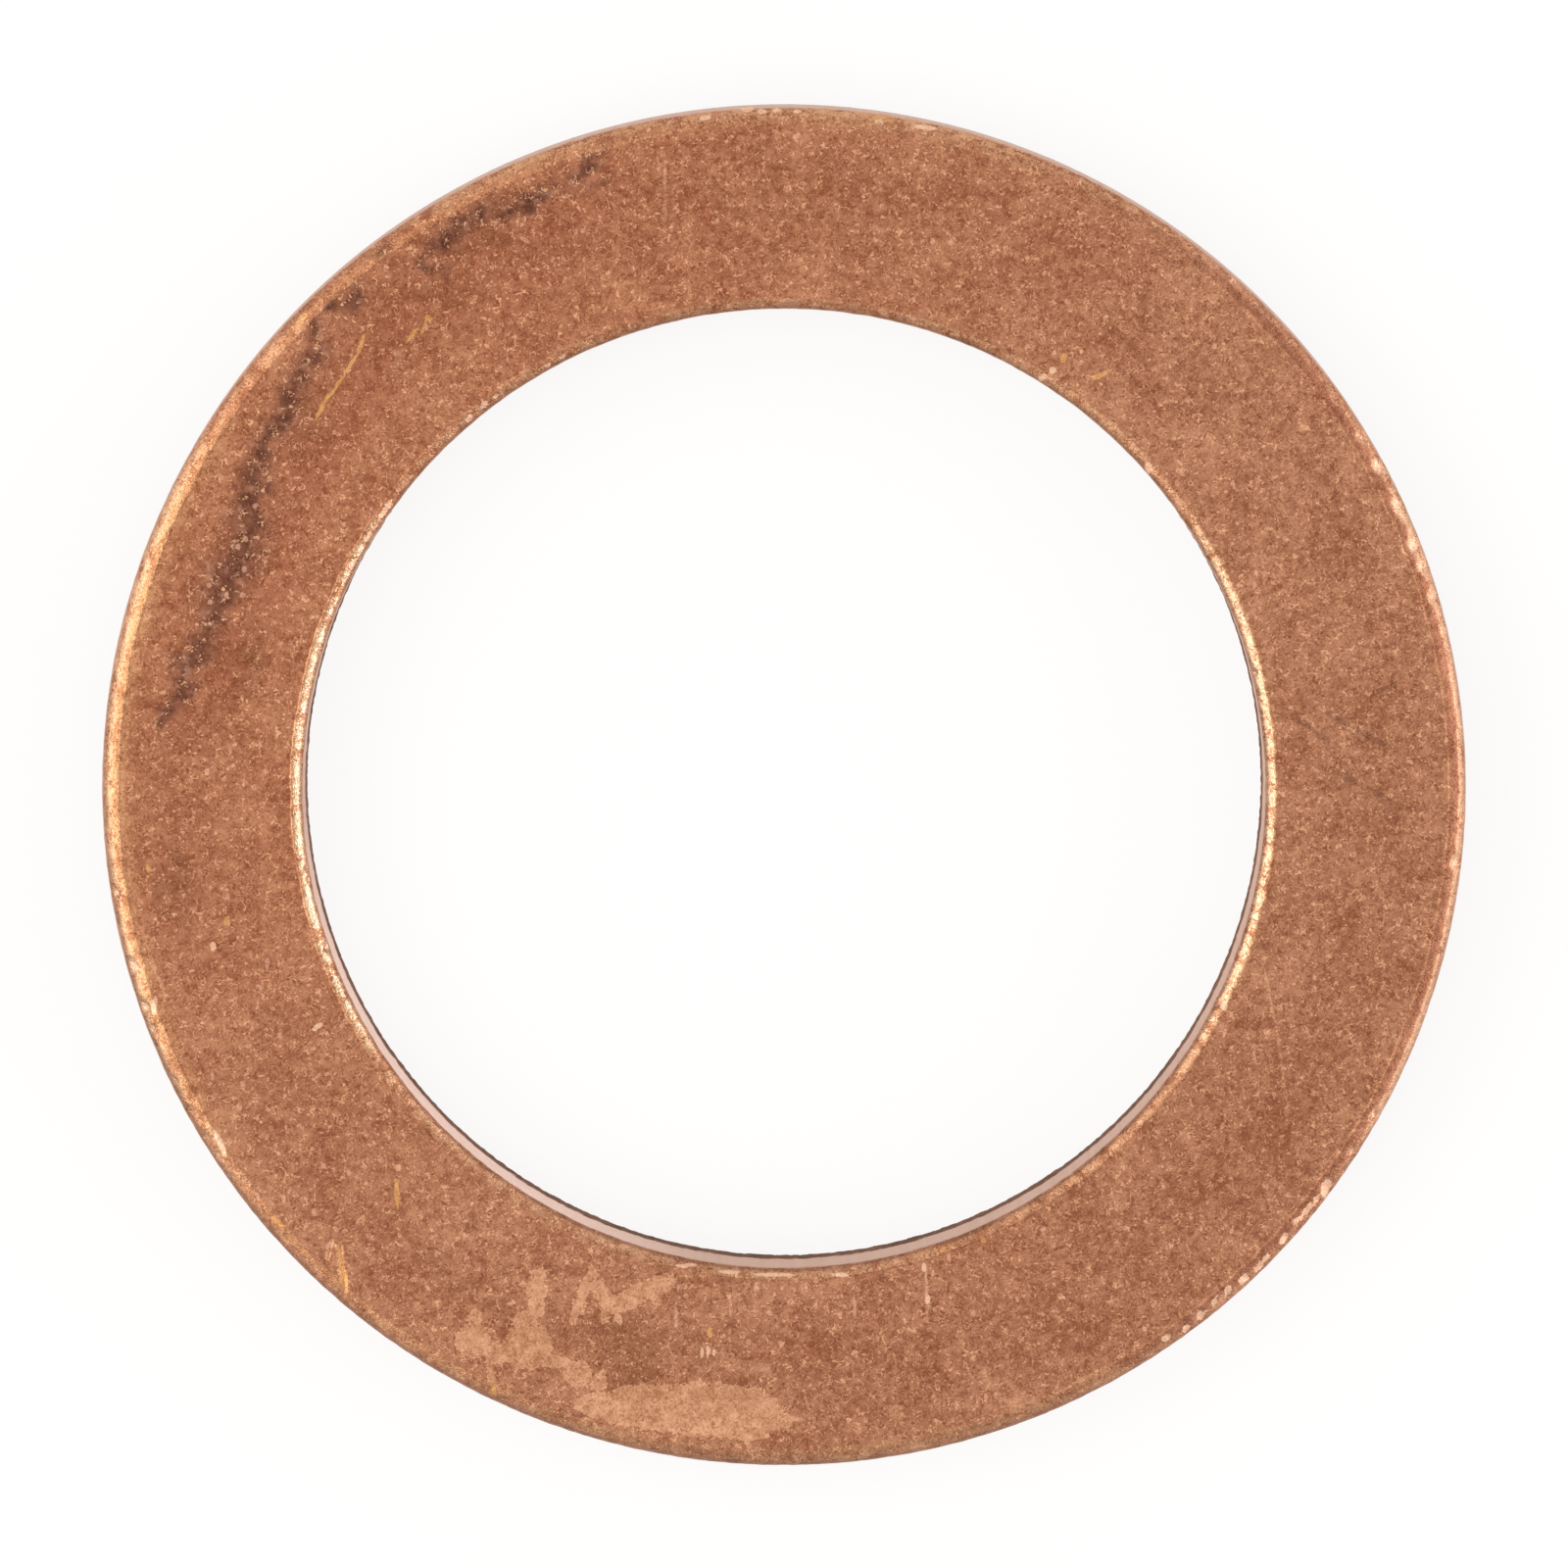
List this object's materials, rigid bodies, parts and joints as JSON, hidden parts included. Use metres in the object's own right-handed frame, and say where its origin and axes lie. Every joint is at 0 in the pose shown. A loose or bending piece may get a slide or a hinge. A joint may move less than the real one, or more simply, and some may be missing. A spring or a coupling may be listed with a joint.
{
  "type": "oil pan drain plug gasket",
  "caption": "Flat copper sealing ring for an oil pan drain plug: a plain ring of rectangular section with rounded die-roll edges, a round bore and a few handling marks.",
  "frame": {"origin": "centre of the lower sealing face, on the bore axis", "axes": "+Z along the bore axis, from the lower face towards the face with the die roll; +X is to the right in the picture and +Y is up in it"},
  "size_m": [0.02, 0.02, 0.0015],
  "materials": {
    "copper": null
  },
  "bodies": {
    "root": {"sealing_ring": "copper"}
  },
  "joints": []
}
